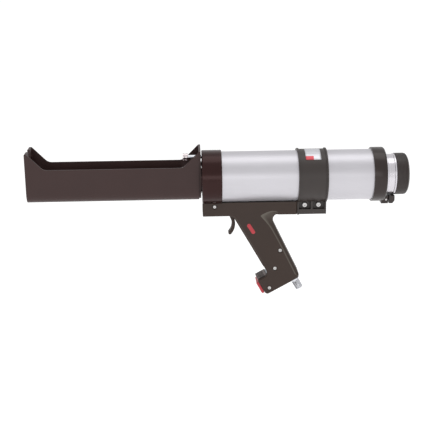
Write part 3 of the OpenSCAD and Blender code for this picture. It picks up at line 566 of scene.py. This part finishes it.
def tray_sheet(low, high, side, corner, rise):
    """The tray's outer face. Along X the wall's top follows the tall ends, the 45 degree slopes and the low
    sides; across, a section runs down one wall, round a corner, over the floor and up the other wall:
    z = corner level + share of the way up times the wall's height there."""
    top = high[2]
    line = soften([(low[0], top), (0, top), (rise, side), (high[0] - rise, side), (high[0], top)],
                  [0, 1.2, 6, 6, 0], steps=8)
    x, wall_top = line[:, :1], line[:, 1:]
    w, level = high[1], low[2] + corner
    bend = arc((w - corner, level), corner, 0, -90, 14)
    rising = np.linspace(1, 0, 7)[:-1]
    half = np.concatenate([np.stack([np.full(6, w), np.full(6, level)], -1), bend])
    share = np.concatenate([rising, np.zeros(len(bend))])
    section = np.concatenate([half, (half * [-1, 1])[::-1]])
    share = np.concatenate([share, share[::-1]])
    z = section[None, :, 1] + share[None] * (wall_top - level)
    y = np.broadcast_to(section[None, :, 0], z.shape)
    grid = np.stack([np.broadcast_to(x, z.shape), y, z], -1)
    return grid.reshape(-1, 3), grid_faces(*z.shape, wrap=False)[:, ::-1].tolist()


def shell_outline():
    """Outline of the beam, grip and foot from the side, going round with the solid on its left."""
    p = PLACE
    gx, bz = p["grip_x"], p["beam_z"]
    back = gx + 62.1
    lean = math.degrees(LEAN)
    parts = [
        [(p["beam_x"], -p["tube_r"] + 6), (p["beam_end"], -p["tube_r"] + 6), (p["beam_end"], bz + 1.1)],
        arc((back + 8.5, bz - 7.2), 8.5, 90, 180, 14),
        [(back + 0.7, bz - 13)],
        arc(foot(56.6, 19.1), 6.9, lean - 2, lean - 90, 14),
        [foot(3.5, 26), foot(0.5, 23), foot(0.5, -1.7)],
        arc(foot(12, -10.7), 9, lean - 90, lean - 4, 12),
        [foot(19.6, -21.5), (gx, bz - 3.6), (gx - 5, bz), (p["beam_x"], bz)],
    ]
    return np.concatenate([np.asarray(q, float) for q in parts])


def averaged(v):
    """Values round a closed outline, each averaged with its neighbours, which count for less further off."""
    kernel = np.hanning(7) / np.hanning(7).sum()
    return np.convolve(np.concatenate([v[-3:], v, v[:3]]), kernel, "valid")


def slopes(outline, s):
    """Width and depth of the slope beside each point of the shell's outline, and the direction it runs in.
    Along the rear edge below the beam it is the back strap's. Towards the beam it widens to the web's, by a
    share e^(-d / 9) at d mm below the beam, and runs straight forward instead of square to the edge. Along
    the grip's front edge it is a third of the strap's, and elsewhere the plain rounding of the edge."""
    x, z = outline[:, 0] - PLACE["foot"][0], outline[:, 1] - PLACE["foot"][1]
    t = x * math.cos(LEAN) + z * math.sin(LEAN)
    k = x * math.sin(LEAN) - z * math.cos(LEAN)
    below = PLACE["beam_z"] + 1.5 - outline[:, 1]
    edge, strap = s["shell_edge"], s["strap_width"]
    rear = np.clip((t - 46) / 6, 0, 1) * np.clip((below + 3) / 4, 0, 1) * np.clip((27 - k) / 8, 0, 1)
    rear *= np.where(below < 8, np.clip((PLACE["grip_x"] + 70.6 - outline[:, 0]) / 3, 0, 1), 1)
    front = np.clip((30 - t) / 6, 0, 1) * np.clip(below / 8, 0, 1) * np.clip((-24 - k) / 8, 0, 1)
    web = np.exp(-np.maximum(below, 0) / 9)
    width = edge + rear * (strap - edge + web * (s["web_width"] - strap)) + front * strap * 0.35
    depth = edge + rear * (s["strap_depth"] - edge) + front * strap * 0.25
    level = averaged(rear * np.clip((30 - below) / 12, 0, 1))[:, None]
    return averaged(width), averaged(depth), (1 - level) * inward(outline) + level * [-1.0, 0.0]


# The slope's rings from the shell's edge to its side: the share of the width, the share of the depth, and
# how much painted highlight the strap and the web take there, standing in for light on the ridge and the web.
SLOPE_RINGS = ((0, 0, 0.3, 0), (0.012, 0.09, 0.4, 0), (0.05, 0.2, 0.15, 0.2), (0.3, 0.46, 0, 0.5),
               (0.6, 0.72, 0, 0.6), (0.86, 0.93, 0.5, 0.6), (0.95, 0.983, 1, 0.7), (1, 1, 0.8, 0.5))


def shell_skin(s):
    """The left shell's skin as points, faces and how much painted highlight each point takes: the outline
    carried from the seam to the side. A small bevel opens the seam. Beside the side, each ring moves inwards
    by its share of the slope's width and outwards by its share of the depth, so that the slope is nearly flat
    between two narrow ridges. One more ring, 0.9 mm further in along the rear, keeps the painted highlight
    line narrow."""
    outline = evenly(soften(shell_outline(), 1.6, closed=True, steps=5), 0.8)
    width, depth, towards = slopes(outline, s)
    w, none, edge, strap = PLACE["half_w"], 0 * width, s["shell_edge"], s["strap_width"]
    rear = np.clip((width - edge) / (strap - edge), 0, 1)
    web = np.clip((width - strap) / (s["web_width"] - strap), 0, 1)
    insets, levels = [0.35 + none, none, none], [-0.06 + none, -0.45 + none, -(w - depth) * 0.5]
    # Painted highlight: a bright line along the back strap's ridge and lighter shading over the web, standing
    # in for how light falls there.
    painted_highlight = [none, none, none]
    for share, rise, on_strap, on_web in SLOPE_RINGS:
        insets.append(width * share)
        levels.append(-(w - depth + depth * rise))
        painted_highlight.append(rear * on_strap + web * on_web)
    insets.append(width + 0.9 * rear)
    levels.append(-w + none)
    painted_highlight.append(none)
    points, faces = carried(outline, insets, levels, towards)
    return points, faces, np.clip(np.concatenate(painted_highlight), 0, 1)


def shell_holes(s):
    """What is cut out of both shells, as points and faces: the bed of the head and the cylinder, the
    trigger's slot, and the bores of the regulator knob and the inlet nipple."""
    start, end, pin = PLACE["beam_x"] - 5, PLACE["beam_end"] + 60, PLACE["pivot"][0]
    head_end, head_r = PLACE["beam_x"] + 30.9, node_box("front_head")[1][2] + 0.3
    bed_r = PLACE["tube_r"] + s["shell_gap"]
    knob, knob_faces = turned([(-4, 0), (-4, 9.4), (17, 9.4), (17, 8.1), (29, 8.1), (29, 0)], 72)
    inlet, inlet_faces = turned([(14, 0), (14, 5.3), (32.5, 5.3), (32.5, 0)], 48)
    return [
        turned([(start, 0), (start, head_r), (head_end, head_r), (head_end, bed_r), (end, bed_r), (end, 0)],
               160),
        slab(pin - 12, pin + 18.5, -7.6, 7.6, PLACE["beam_z"] - 26, -PLACE["tube_r"] - 3),
        (in_foot(knob), knob_faces),
        (down_in_foot(inlet, INLET_T), inlet_faces),
    ]


def trigger_outline():
    """Hub, arm and curved blade with a round tip, from the side, about the trigger pin."""
    centre = np.array([-23, -29.5])
    tip = centre + 23.45 * np.array([math.cos(math.radians(-41)), math.sin(math.radians(-41))])
    parts = [arc((0, 0), 5.2, -73, 180, 24), [(-5.5, -0.2), (-5.5, -18)], arc(centre, 20.8, 30, -41, 24),
             arc(tip, 2.65, 139, 319, 10)[1:-1], arc(centre, 26.1, -41, 19, 24), [(1.5, -19)]]
    return np.concatenate([np.asarray(q, float) for q in parts]) + PLACE["pivot"]


def pill(centre, lean, run, radius):
    """A pill outline: two half circles a run apart from the centre, leaning by an angle in degrees."""
    p = np.concatenate([arc((0, run), radius, 0, 180, 16), arc((0, -run), radius, 180, 360, 16)])
    a = math.radians(lean)
    return np.array(centre) + p @ np.array([[math.cos(a), math.sin(a)], [-math.sin(a), math.cos(a)]])


def domed(outline, base, face, crown, edge):
    """A closed outline carried across Y from the base to the face, with its edge rounded and its face
    raised in two rings, so that the middle stands out by the crown."""
    side = 1 if face > base else -1
    insets = [0, 0, 0.3 * edge, edge, edge * 2.2]
    levels = [base, face - side * edge, face - side * 0.3 * edge, face, face + side * crown]
    return carried(outline, insets, levels)


def slab(x0, x1, y0, y1, z0, z1):
    """A box for cutting: a square outline carried across Y."""
    return carried(np.array([(x0, z0), (x1, z0), (x1, z1), (x0, z1)], float), [0, 0], [y0, y1])


def plug(x, z, y0, y1, radius, steps=48):
    """A round bar along Y for cutting."""
    return carried(arc((x, z), radius, 0, 360, steps)[:-1], [0, 0], [y0, y1])


def joined(*shapes):
    """Several (points, faces) as one."""
    points, faces, start = [], [], 0
    for p, f in shapes:
        points.append(p)
        faces += [[i + start for i in face] for face in f]
        start += len(p)
    return np.concatenate(points), faces


def closed(profile):
    """A profile with its first point again at its end."""
    return np.vstack([profile, profile[:1]])


def hexagon(radius):
    """What a ripple takes off a round bar of the radius to leave a hexagon with its corners on it."""
    return lambda x, a: radius - radius * math.cos(math.pi / 6) / np.cos((a % (math.pi / 3)) - math.pi / 6)


def round_part(node):
    """Front, rear, radius and height of the line of a round CAD node that lies along X, in mm."""
    low, high = node_box(node)
    return low[0], high[0], (high[2] - low[2]) / 2, (low[2] + high[2]) / 2


# ---------------------------------------------------------------- one operator for each piece or group

class CAULK_OT_tray(bpy.types.Operator):
    """Makes the cartridge tray's bent sheet, its end plates, shoe and screws"""
    bl_idname = "caulk.tray"
    bl_label = "Tray"

    def execute(self, context):
        s = sizes()
        points, faces = tray_sheet(*node_box("cartridge_tray"), side=22, corner=15, rise=25)
        obj = sheet_object("tray_sheet", points, faces, SHEET,
                           lambda mesh: min(mesh.polygons, key=lambda f: f.center.z).normal.z > 0)
        edge = obj.modifiers.new("deburred_edges", "BEVEL")
        edge.width, edge.segments = s["sheet_edge"] * MM, 2
        edge.limit_method, edge.angle_limit = "ANGLE", math.radians(50)
        edge.harden_normals = True
        stands_for(obj, "gun", "cartridge_tray")
        for node in ("tray_front_plate", "tray_rear_plate"):
            rounded_copy(node, s["sheet_edge"])
        rounded_copy("tray_shoe", 0.3)
        rounded_copy("tray_screws", 0.3)
        return {"FINISHED"}


class CAULK_OT_cylinder(bpy.types.Operator):
    """Makes the air cylinder's head, tube, end cap and bright ring"""
    bl_idname = "caulk.cylinder"
    bl_label = "Air cylinder"

    def execute(self, context):
        edge = sizes()["turned_edge"]
        low, high = node_box("cylinder_tube")
        r = high[2]
        wall = soften([(low[0], r), (high[0], r), (high[0], r - 2.5), (low[0], r - 2.5)], edge, closed=True)
        tube = mesh_object("tube_surface", *turned(closed(wall), 192))
        stands_for(even_shading(tube), "gun", "cylinder_tube")
        low, high = node_box("cap_ring")
        r = high[2]
        profile = soften([(low[0], 20), (low[0], r), (low[0] + 3, r), (low[0] + 3.5, r - 0.9),
                          (high[0] - 3, r - 0.9), (high[0] - 2.4, r), (high[0], r), (high[0], 20)], 0.35)
        bright = mesh_object("bright_ring", *turned(closed(profile), 192))
        stands_for(even_shading(bright), "gun", "cap_ring")
        rounded_copy("front_head", edge)
        rounded_copy("end_cap", edge)
        return {"FINISHED"}


class CAULK_OT_ram(bpy.types.Operator):
    """Makes the two pushers and their rods"""
    bl_idname = "caulk.ram"
    bl_label = "Ram"

    def execute(self, context):
        edge = sizes()["turned_edge"]
        x0, x1, r, mid = round_part("main_pusher")
        profile = soften([(x0 + 4.2, 3), (x0 + 4.2, 5.2), (x0, 5.2), (x0, r - 3), (x0 + 0.6, r - 2.4),
                          (x0 + 0.6, r), (x1 - 3, r), (x1, r - 3), (x1, 3)], edge * 0.8)
        disc = mesh_object("main_pusher_disc", *turned(closed(profile), 128, (0, mid)))
        stands_for(disc, "ram", "main_pusher")
        x0, x1, r, mid = round_part("small_pusher")
        profile = soften([(x0, 0), (x0, r), (x0 + 2.4, r), (x0 + 2.8, r - 0.5), (x1 - 2.8, r - 0.5),
                          (x1 - 2.4, r), (x1, r), (x1, 3), (x1 - 3, 3), (x1 - 3, 0)], 0.4)
        disc = mesh_object("small_pusher_disc", *turned(profile, 96, (0, mid)))
        stands_for(disc, "ram", "small_pusher")
        for node, neck_depth, neck_length in (("main_rod", 2, 20), ("small_rod", 0, 0)):
            x0, x1, r, mid = round_part(node)
            shoulder, neck = x1 - neck_length, r - neck_depth
            profile = soften([(x0, 0), (x0, r), (shoulder, r), (shoulder, neck), (x1, neck), (x1, 0)], 0.4)
            stands_for(mesh_object(node + "_bar", *turned(profile, 96, (0, mid))), "ram", node)
        return {"FINISHED"}


class CAULK_OT_knob(bpy.types.Operator):
    """Makes the grooved rear knob, its screw and the latch below it"""
    bl_idname = "caulk.knob"
    bl_label = "Rear knob"

    def execute(self, context):
        s = sizes()
        low, high = node_box("selector_knob")
        r, x0, x1 = high[2], low[0], high[0]
        outer = soften([(x0, 6), (x0, r), (x1 - 5.4, r), (x1 - 4.9, r - 1.1), (x1 - 4.1, r - 1.1),
                        (x1 - 3.6, r - 0.1), (x1, r - 4.4), (x1, r - 9), (x1 - 1.5, r - 10),
                        (x1 - 1.5, 4.7), (x1 - 5, 4.7), (x1 - 5, 2.6), (x0, 2.6)],
                       [0, 0.5, 0.4, 0.3, 0.3, 4, 4, 0.8, 0.8, 0.4, 0, 0, 0], steps=6)
        # The grooved rings come after the last point of the profile, at the radius of its wall.
        fine = np.arange(x0 + 0.8, x1 - 6.2, s["groove_pitch"] / 12)
        profile = closed(np.vstack([outer, np.stack([fine, np.full(len(fine), r)], -1)]))
        x, at_wall = profile[:, 0], profile[:, 1] > r - 0.05
        groove = s["groove_depth"] * np.abs(np.cos(np.pi * (x - x0) / s["groove_pitch"])) ** 10
        profile[:, 1] -= groove * (at_wall & (x > x0 + 1.2) & (x < x1 - 6.6))
        knob = mesh_object("grooved_knob", *turned(profile, 160), smooth=50)
        stands_for(knob, "selector", "selector_knob")
        rounded_copy("knob_screw", 0.3)
        rounded_copy("knob_latch", 0.4)
        return {"FINISHED"}


class CAULK_OT_clamp(bpy.types.Operator):
    """Makes the clamp band with its screws and nuts, and the rating plate"""
    bl_idname = "caulk.clamp"
    bl_label = "Clamp"

    def execute(self, context):
        rounded_copy("clamp_band", 0.5)
        rounded_copy("clamp_screws", 0.3)
        rounded_copy("clamp_nuts", 0.3)
        # The plate is a piece of a round about the tube's line: x runs along it, and a is the angle from
        # the top.
        low, high = node_box("rating_plate")
        radius, rows, cols = high[2], 9, 17
        u, v = np.meshgrid(np.linspace(0, 1, rows), np.linspace(0, 1, cols), indexing="ij")
        a = (1 - v) * math.asin(min(1.0, -low[1] / radius))
        grid = np.stack([low[0] + u * (high[0] - low[0]), -radius * np.sin(a), radius * np.cos(a)], -1)
        obj = sheet_object("plate", grid.reshape(-1, 3), grid_faces(rows, cols, wrap=False).tolist(), FOIL,
                           lambda mesh: mesh.polygons[0].normal.z < 0)
        corner = np.zeros(len(obj.data.loops), np.int32)
        obj.data.loops.foreach_get("vertex_index", corner)
        uv = obj.data.uv_layers.new(name="plate")
        uv.data.foreach_set("uv", np.stack([u.ravel(), v.ravel()], -1)[corner].ravel())
        stands_for(obj, "gun", "rating_plate")
        return {"FINISHED"}


class CAULK_OT_grip(bpy.types.Operator):
    """Makes the two grip shells with their back strap and recesses, their screws and badges"""
    bl_idname = "caulk.grip"
    bl_label = "Grip"

    def execute(self, context):
        s = sizes()
        w = PLACE["half_w"]
        skin, faces, painted_highlight = shell_skin(s)
        screws = [foot(56.2, -29.3), foot(34.3, -6.8), foot(10.5, 18.3)]
        for name, side in (("left", -1), ("right", 1)):
            obj = mesh_object(f"grip_{name}", skin * [1, -side, 1], faces, painted_highlight=painted_highlight)
            holes = shell_holes(s)
            if side < 0:
                holes += [plug(x, z, -w - 1, -w + 3, 3.5) for x, z in screws]
                holes.append(plug(*centre_of("head_screw"), -w - 1, -w + 2, 4))
            cut(obj, [mesh_object(f"cutter_{i}", *hole) for i, hole in enumerate(holes)])
            stands_for(even_shading(obj), "gun", f"grip_shell_{name}")
        rounded_copy("shell_screws", 0.35)
        rounded_copy("head_screw", 0.35)
        outline = pill(centre_of("grip_badges"), lean=32, run=6.45, radius=3.25)
        pills = [domed(outline, side * (w - 1), side * (w + 0.25), 0.25, 0.7) for side in (-1, 1)]
        stands_for(mesh_object("badges", *joined(*pills), smooth=50), "gun", "grip_badges")
        return {"FINISHED"}


class CAULK_OT_trigger(bpy.types.Operator):
    """Makes the curved trigger with rounded blade edges"""
    bl_idname = "caulk.trigger"
    bl_label = "Trigger"

    def execute(self, context):
        r = sizes()["trigger_edge"]
        outline = evenly(soften(trigger_outline(), 0.8, closed=True, steps=2), 0.7)
        q = np.linspace(0, math.pi / 2, 6)
        insets = [*(r * (1 - np.sin(q))), *(r * (1 - np.cos(q)))]
        levels = [*(-7 + r * (1 - np.cos(q))), *(7 - r + r * np.sin(q))]
        obj = mesh_object("trigger_lever", *carried(outline, insets, levels), smooth=40)
        stands_for(even_shading(obj), "trigger_lever", "trigger")
        return {"FINISHED"}


class CAULK_OT_foot(bpy.types.Operator):
    """Makes the ribbed regulator knob, the foot's front cap and the threaded inlet nipple"""
    bl_idname = "caulk.foot"
    bl_label = "Foot"

    def execute(self, context):
        s = sizes()
        profile = soften([(0, 0), (0, 9), (KNOB_LENGTH, 9), (KNOB_LENGTH, 0)], 0.8)
        # Three more rings along the wall go in before the last point of its front edge.
        profile = np.vstack([profile[:9], [(5, 9), (9, 9), (13, 9)], profile[9:]])
        ribs = lambda x, a: 0.62 * (0.5 - 0.5 * np.cos(24 * a)) ** 1.5
        points, faces = turned(profile, 288, ripple=ribs)
        knob = mesh_object("ribbed_knob", in_foot(points), faces, smooth=60)
        stands_for(knob, "regulator", "regulator_knob")

        outline = soften([(0.6, -15.5), (21.5, -15.5), (21.5, 15.5), (0.6, 15.5)], 2, closed=True, steps=6)
        points, faces = carried(outline, [0, 0, 0.3, 1.2, 3.5], [0.2, 3.4, 4.1, 4.4, 4.6])
        points = down_in_foot(np.stack([points[:, 0], points[:, 2], -points[:, 1]], -1), 0)
        stands_for(mesh_object("foot_front", points, faces, smooth=50), "gun", "foot_cap")

        nut_r, first, last, pitch = 8.08, 33.2, 46.7, s["thread_pitch"]
        nut = soften([(26.2, 0), (26.2, nut_r), (31.5, nut_r), (31.5, 0)], 0.5)
        along = np.arange(first, last, pitch / 10)
        bar = np.vstack([[(31.1, 0), (31.1, 5.6), (32.7, 5.6), (32.9, 6.2)],
                         np.stack([along, np.full(len(along), 6.58)], -1),
                         [(47.1, 6.2), (47.5, 5.8), (47.5, 3.3), (47.2, 3.1), (38.5, 3.1), (38.5, 0)]])
        thread = lambda x, a: (x > first - 0.1) * (x < last + 0.1) * s["thread_depth"] * np.abs(
            ((x / pitch - a / (2 * np.pi)) % 1) * 2 - 1)
        points, faces = joined(turned(nut, 144, ripple=hexagon(nut_r)), turned(bar, 96, ripple=thread),
                               turned([(14, 0), (14, 5), (26.5, 5), (26.5, 0)], 64))
        stands_for(mesh_object("threaded_inlet", down_in_foot(points, INLET_T), faces, smooth=50), "gun",
                   "inlet_nipple")
        return {"FINISHED"}


class CAULK_OT_inner(bpy.types.Operator):
    """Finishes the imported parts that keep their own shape, mostly those inside"""
    bl_idname = "caulk.inner"
    bl_label = "Inner parts"

    def execute(self, context):
        kept = [name for name, obj in frame["nodes"].items() if not obj.hide_render]
        if not kept:
            raise RuntimeError("no packed part was left to finish")
        for name in kept:
            finish_node(name)
        return {"FINISHED"}


class CAULK_OT_stage(bpy.types.Operator):
    """Makes the pale floor, the soft lights and the camera"""
    bl_idname = "caulk.stage"
    bl_label = "Floor, lights and camera"

    def execute(self, context):
        scene = context.scene
        scene.view_settings.view_transform = "Standard"
        low, high = [np.array(c) for c in cad_box]
        # The floor lies a hand's breadth below the grip, so that its shadow stays soft.
        half, drop = 30.0, 0.11
        mesh = bpy.data.meshes.new("floor")
        z = low[2] - drop
        mid = (low + high) / 2
        mesh.from_pydata([(mid[0] + x * half, mid[1] + y * half, z) for x, y in
                          ((-1, -1), (1, -1), (1, 1), (-1, 1))], [], [(0, 1, 2, 3)])
        floor = bpy.data.objects.new("floor", mesh)
        scene.collection.objects.link(floor)
        paper = bpy.data.materials.new("studio_paper")
        paper.use_nodes = True
        shader = paper.node_tree.nodes["Principled BSDF"]
        shader.inputs["Base Color"].default_value = linear("F6F6F6")
        shader.inputs["Roughness"].default_value = 0.9
        # A lit table: its own glow keeps the paper white and lightens what faces down.
        shader.inputs["Emission Color"].default_value = linear("FFFFFF")
        shader.inputs["Emission Strength"].default_value = 0.3
        mesh.materials.append(paper)

        world = bpy.data.worlds.new("studio_light")
        world.use_nodes = True
        world.node_tree.nodes["Background"].inputs["Color"].default_value = linear("FFFFFF")
        world.node_tree.nodes["Background"].inputs["Strength"].default_value = 0.8
        scene.world = world
        middle = Vector(mid.tolist())
        for name, place, width, depth, power in (
                ("overhead_softbox", (0.0, 0.1, 1.4), 1.8, 0.8, 5),
                ("front_softbox", (-0.4, -1.9, 0.45), 2.0, 0.5, 4.5)):
            lamp = bpy.data.lights.new(name, "AREA")
            lamp.shape, lamp.size, lamp.size_y, lamp.energy = "RECTANGLE", width, depth, power
            light = bpy.data.objects.new(name, lamp)
            light.location = middle + Vector(place)
            light.rotation_euler = (middle - light.location).to_track_quat("-Z", "Y").to_euler()
            scene.collection.objects.link(light)

        # The camera looks nearly square on to the side, from a little above. Angles are in radians, and the
        # distance and the place it looks at are in mm.
        turn, down, roll, distance = -0.0288, 0.2837, -0.0114, 1603.9
        aim, focal_length = Vector((293.8, 0, -67.3)), 82.79172
        ahead = Vector((-math.sin(turn) * math.cos(down), math.cos(turn) * math.cos(down), -math.sin(down)))
        flat = Vector((math.cos(turn), math.sin(turn), 0))
        rise = flat.cross(ahead)
        right = math.cos(roll) * flat + math.sin(roll) * rise
        up = math.cos(roll) * rise - math.sin(roll) * flat
        lens = bpy.data.cameras.new("camera")
        lens.sensor_width, lens.lens = 36, focal_length
        camera = bpy.data.objects.new("camera", lens)
        stand = (aim - distance * ahead) * MM
        camera.matrix_world = Matrix.Translation(stand) @ Matrix((right, up, -ahead)).transposed().to_4x4()
        scene.collection.objects.link(camera)
        scene.camera = camera
        return {"FINISHED"}


PARTS = (CAULK_OT_tray, CAULK_OT_cylinder, CAULK_OT_ram, CAULK_OT_knob, CAULK_OT_clamp, CAULK_OT_grip,
         CAULK_OT_trigger, CAULK_OT_foot, CAULK_OT_inner, CAULK_OT_stage)


class CAULK_PT_sidebar(bpy.types.Panel):
    """Lists the sizes, the colours and the pieces"""
    bl_idname = "CAULK_PT_sidebar"
    bl_label = "Caulking gun"
    bl_space_type = "VIEW_3D"
    bl_region_type = "UI"
    bl_category = "Caulking gun"

    def draw(self, context):
        for group in (context.scene.caulking_gun_sizes, context.scene.caulking_gun_colours):
            box = self.layout.box()
            for name in group.__annotations__:
                box.prop(group, name)
        for operator in PARTS:
            self.layout.operator(operator.bl_idname)


CLASSES = (CaulkingGunSizes, CaulkingGunColours, *PARTS, CAULK_PT_sidebar)


def register():
    for cls in CLASSES:
        bpy.utils.register_class(cls)
    bpy.types.Scene.caulking_gun_sizes = bpy.props.PointerProperty(type=CaulkingGunSizes)
    bpy.types.Scene.caulking_gun_colours = bpy.props.PointerProperty(type=CaulkingGunColours)


def unregister():
    del bpy.types.Scene.caulking_gun_sizes
    del bpy.types.Scene.caulking_gun_colours
    for cls in reversed(CLASSES):
        bpy.utils.unregister_class(cls)


def main():
    """Makes every piece and the stage."""
    register()
    for operator in PARTS:
        group, name = operator.bl_idname.split(".")
        getattr(getattr(bpy.ops, group), name)()


if __name__ == "__main__":
    main()
